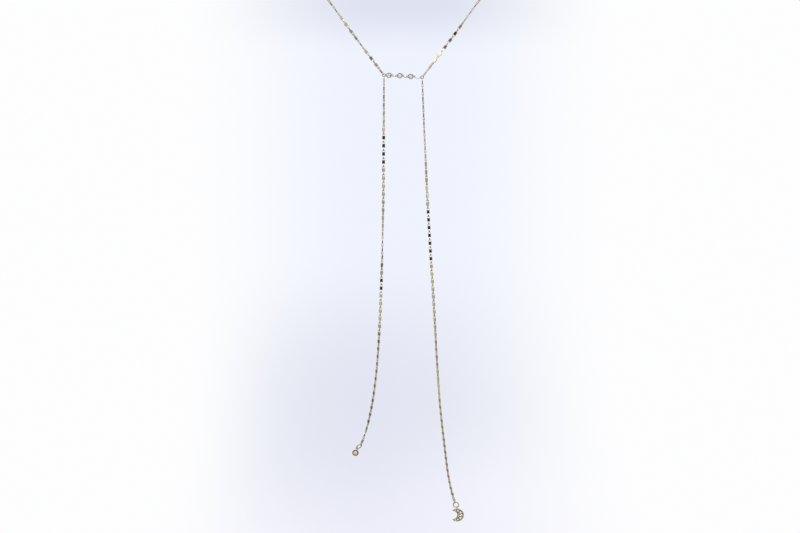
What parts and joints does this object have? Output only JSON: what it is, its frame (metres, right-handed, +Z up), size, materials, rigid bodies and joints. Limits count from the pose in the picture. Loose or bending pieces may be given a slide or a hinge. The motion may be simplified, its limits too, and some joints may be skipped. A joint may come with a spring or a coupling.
{
  "type": "drop necklace",
  "caption": "Drop necklace of fine mirror-plate chain: a neck loop, a short bar of set stones in front, and loose tails ending in a round stone and a crescent moon.",
  "frame": {"origin": "where the nape of the wearer's neck carries the necklace, at the front of the clasp", "axes": "+Z up, front faces -Y, +X to the right of somebody who looks at the front"},
  "size_m": [0.1261, 0.0916, 0.3438],
  "materials": {
    "chain_metal": "polished champagne gold plate",
    "fittings_metal": "polished champagne gold plate",
    "setting_metal": "polished champagne gold plate",
    "bar_wire": "polished pale gold plate",
    "crescent_metal": "polished champagne gold plate",
    "clear_stone": "cut and polished",
    "warm_stone": "cut and polished"
  },
  "bodies": {
    "root": {"neck_chain_left": "chain_metal", "neck_chain_right": "chain_metal", "tail_chain_left": "chain_metal", "tail_chain_right": "chain_metal", "junction_ring_left": "fittings_metal", "junction_ring_right": "fittings_metal", "bar_setting_1": "setting_metal", "bar_setting_2": "setting_metal", "bar_setting_3": "setting_metal", "bar_stone_1": "clear_stone", "bar_stone_2": "clear_stone", "bar_stone_3": "clear_stone", "bar_link_1": "bar_wire", "bar_link_2": "bar_wire", "bar_link_3": "bar_wire", "drop_ring": "fittings_metal", "drop_setting": "setting_metal", "drop_stone": "warm_stone", "moon_ring": "fittings_metal", "moon_crescent": "crescent_metal", "moon_stones": "clear_stone", "clasp": "fittings_metal", "clasp_ring_left": "fittings_metal", "clasp_ring_right": "fittings_metal"}
  },
  "joints": []
}
